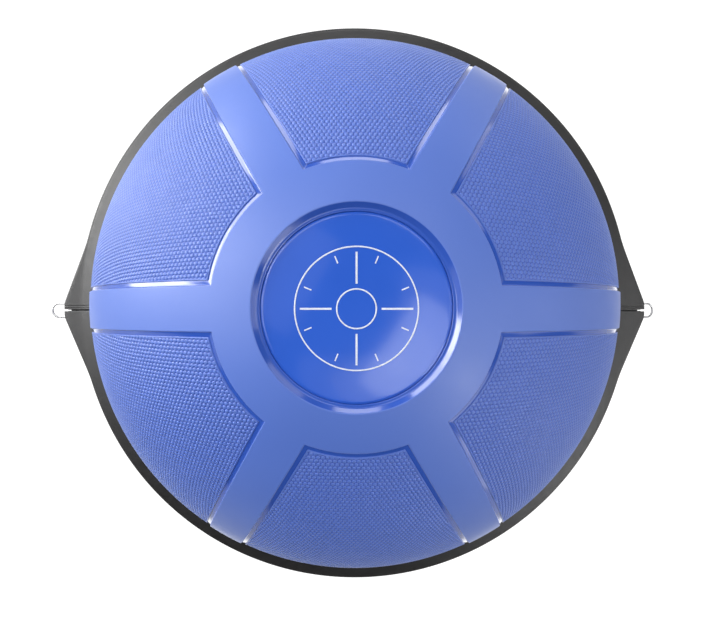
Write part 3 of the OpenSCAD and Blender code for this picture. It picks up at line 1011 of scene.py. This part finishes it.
def stage_floor():
    me = bpy.data.meshes.new("floor")
    me.from_pydata([(-4, -4, 0), (4, -4, 0), (4, 4, 0), (-4, 4, 0)], [], [(0, 1, 2, 3)])
    ob = bpy.data.objects.new("floor", me)
    scene.collection.objects.link(ob)
    m = bpy.data.materials.new("floor_pale")
    m.use_nodes = True
    t = m.node_tree
    out = t.nodes["Material Output"]
    p = t.nodes["Principled BSDF"]
    p.inputs["Base Color"].default_value = (0.9, 0.9, 0.9, 1)
    p.inputs["Roughness"].default_value = 0.9
    e = t.nodes.new("ShaderNodeEmission")
    e.inputs["Color"].default_value = (1, 1, 1, 1)
    e.inputs["Strength"].default_value = 1.25
    mix = t.nodes.new("ShaderNodeMixShader")
    mix.inputs["Fac"].default_value = 0.9
    t.links.new(p.outputs["BSDF"], mix.inputs[1])
    t.links.new(e.outputs["Emission"], mix.inputs[2])
    # plain white to the camera, softer as a reflector
    ray = t.nodes.new("ShaderNodeLightPath")
    glow = t.nodes.new("ShaderNodeMapRange")
    where = t.nodes.new("ShaderNodeNewGeometry")
    length = t.nodes.new("ShaderNodeVectorMath")
    length.operation = "LENGTH"
    t.links.new(where.outputs["Position"], length.inputs[0])
    near = t.nodes.new("ShaderNodeMapRange")
    near.name = "near_glow"
    near.interpolation_type = "SMOOTHSTEP"
    near.inputs["From Min"].default_value = 0.36
    near.inputs["From Max"].default_value = 0.42
    near.inputs["To Min"].default_value = FLOOR_NEAR
    near.inputs["To Max"].default_value = FLOOR_GLOW
    t.links.new(length.outputs["Value"], near.inputs["Value"])
    t.links.new(near.outputs["Result"], glow.inputs["To Min"])
    glow.inputs["To Max"].default_value = 1.25
    t.links.new(ray.outputs["Is Camera Ray"], glow.inputs["Value"])
    t.links.new(glow.outputs["Result"], e.inputs["Strength"])
    # open from below, so that the underside can be looked at
    back = t.nodes.new("ShaderNodeNewGeometry")
    clear = t.nodes.new("ShaderNodeBsdfTransparent")
    side = t.nodes.new("ShaderNodeMixShader")
    either = t.nodes.new("ShaderNodeMath")
    either.operation = "MAXIMUM"
    t.links.new(back.outputs["Backfacing"], either.inputs[0])
    t.links.new(ray.outputs["Is Shadow Ray"], either.inputs[1])
    t.links.new(either.outputs["Value"], side.inputs["Fac"])
    t.links.new(mix.outputs["Shader"], side.inputs[1])
    t.links.new(clear.outputs["BSDF"], side.inputs[2])
    t.links.new(side.outputs["Shader"], out.inputs["Surface"])
    me.materials.append(m)


stage_floor()

world = bpy.data.worlds.new("studio")
scene.world = world
world.use_nodes = True
wt = world.node_tree
sky = wt.nodes["Background"]
sky.inputs["Color"].default_value = (1, 1, 1, 1)
sky.inputs["Strength"].default_value = 0.06
seen = wt.nodes.new("ShaderNodeBackground")      # what the camera sees is plain white
seen.inputs["Color"].default_value = (1, 1, 1, 1)
seen.inputs["Strength"].default_value = 1.0
path_node = wt.nodes.new("ShaderNodeLightPath")
pick = wt.nodes.new("ShaderNodeMixShader")
wt.links.new(path_node.outputs["Is Camera Ray"], pick.inputs["Fac"])
wt.links.new(sky.outputs["Background"], pick.inputs[1])
wt.links.new(seen.outputs["Background"], pick.inputs[2])
wt.links.new(pick.outputs["Shader"], wt.nodes["World Output"].inputs["Surface"])


def softbox(name, azimuth, elevation, size, radiance, distance=2.0):
    """A square softbox on a sphere round the dome, as bright as given per unit of solid angle."""
    data = bpy.data.lights.new(name, "AREA")
    data.shape = "RECTANGLE"
    data.size = data.size_y = size
    data.energy = radiance * math.pi * size * size
    ob = bpy.data.objects.new(name, data)
    scene.collection.objects.link(ob)
    ob.visible_camera = False
    a, e = math.radians(azimuth), math.radians(elevation)
    ob.location = (distance * math.cos(e) * math.cos(a), distance * math.cos(e) * math.sin(a), 0.1 + distance * math.sin(e))
    ob.rotation_euler = (Vector((0, 0, 0.1)) - ob.location).to_track_quat("-Z", "Y").to_euler()
    return ob


# a low, wide key from the left and rear, soft fill on the right,
# and one box on the right front that the glossy disc mirrors
SIZES = {10: 0.9, 26: 0.8, 42: 0.6, 58: 0.8, 72: 0.7}
for az, el, light in (
        (0, 10, 0.6), (45, 10, 1.2), (322, 10, 1.2), (90, 10, 3.2), (135, 10, 5.5), (160, 10, 7.2), (190, 10, 0.6),
        (0, 26, 1.1), (165, 26, 4.3), (315, 26, 0.8),
        (0, 42, 1.0), (150, 42, 6.4), (180, 42, 3.0), (328, 42, 7.2),
        (0, 58, 0.7), (60, 58, 2.0), (120, 58, 2.5), (180, 58, 1.6),
        (150, 72, 0.45), (270, 72, 0.4), (300, 72, 0.6), (325, 72, 2.0), (350, 72, 0.55)):
    softbox("box_%d_%d" % (el, az), az, el, SIZES[el], light)
# soft light from below, seen by the underside alone
softbox("under_left", 200, -55, 1.2, 4.0)
softbox("under_right", 20, -70, 1.2, 3.0)

# camera over the dome, tilted a little, as the product is seen from above
f_px, cx, cy, cz = 485.6, -4.45, -3.58, 572.6
tx, ty, ppx, ppy = 0.048, 0.002, 351.65, 336.87
rx = Matrix(((1, 0, 0), (0, math.cos(tx), -math.sin(tx)), (0, math.sin(tx), math.cos(tx))))
ry = Matrix(((math.cos(ty), 0, math.sin(ty)), (0, 1, 0), (-math.sin(ty), 0, math.cos(ty))))
cam_data = bpy.data.cameras.new("camera")
cam = bpy.data.objects.new("camera", cam_data)
scene.collection.objects.link(cam)
cam.matrix_world = Matrix.Translation((cx * MM, cy * MM, cz * MM)) @ (ry @ rx).transposed().to_4x4()
cam_data.sensor_fit = "HORIZONTAL"
cam_data.sensor_width = 36
cam_data.lens = f_px / 717 * 36
cam_data.shift_x = (358.5 - ppx) / 717
cam_data.shift_y = (ppy - 320) / 717
cam_data.clip_start = 0.01
scene.camera = cam
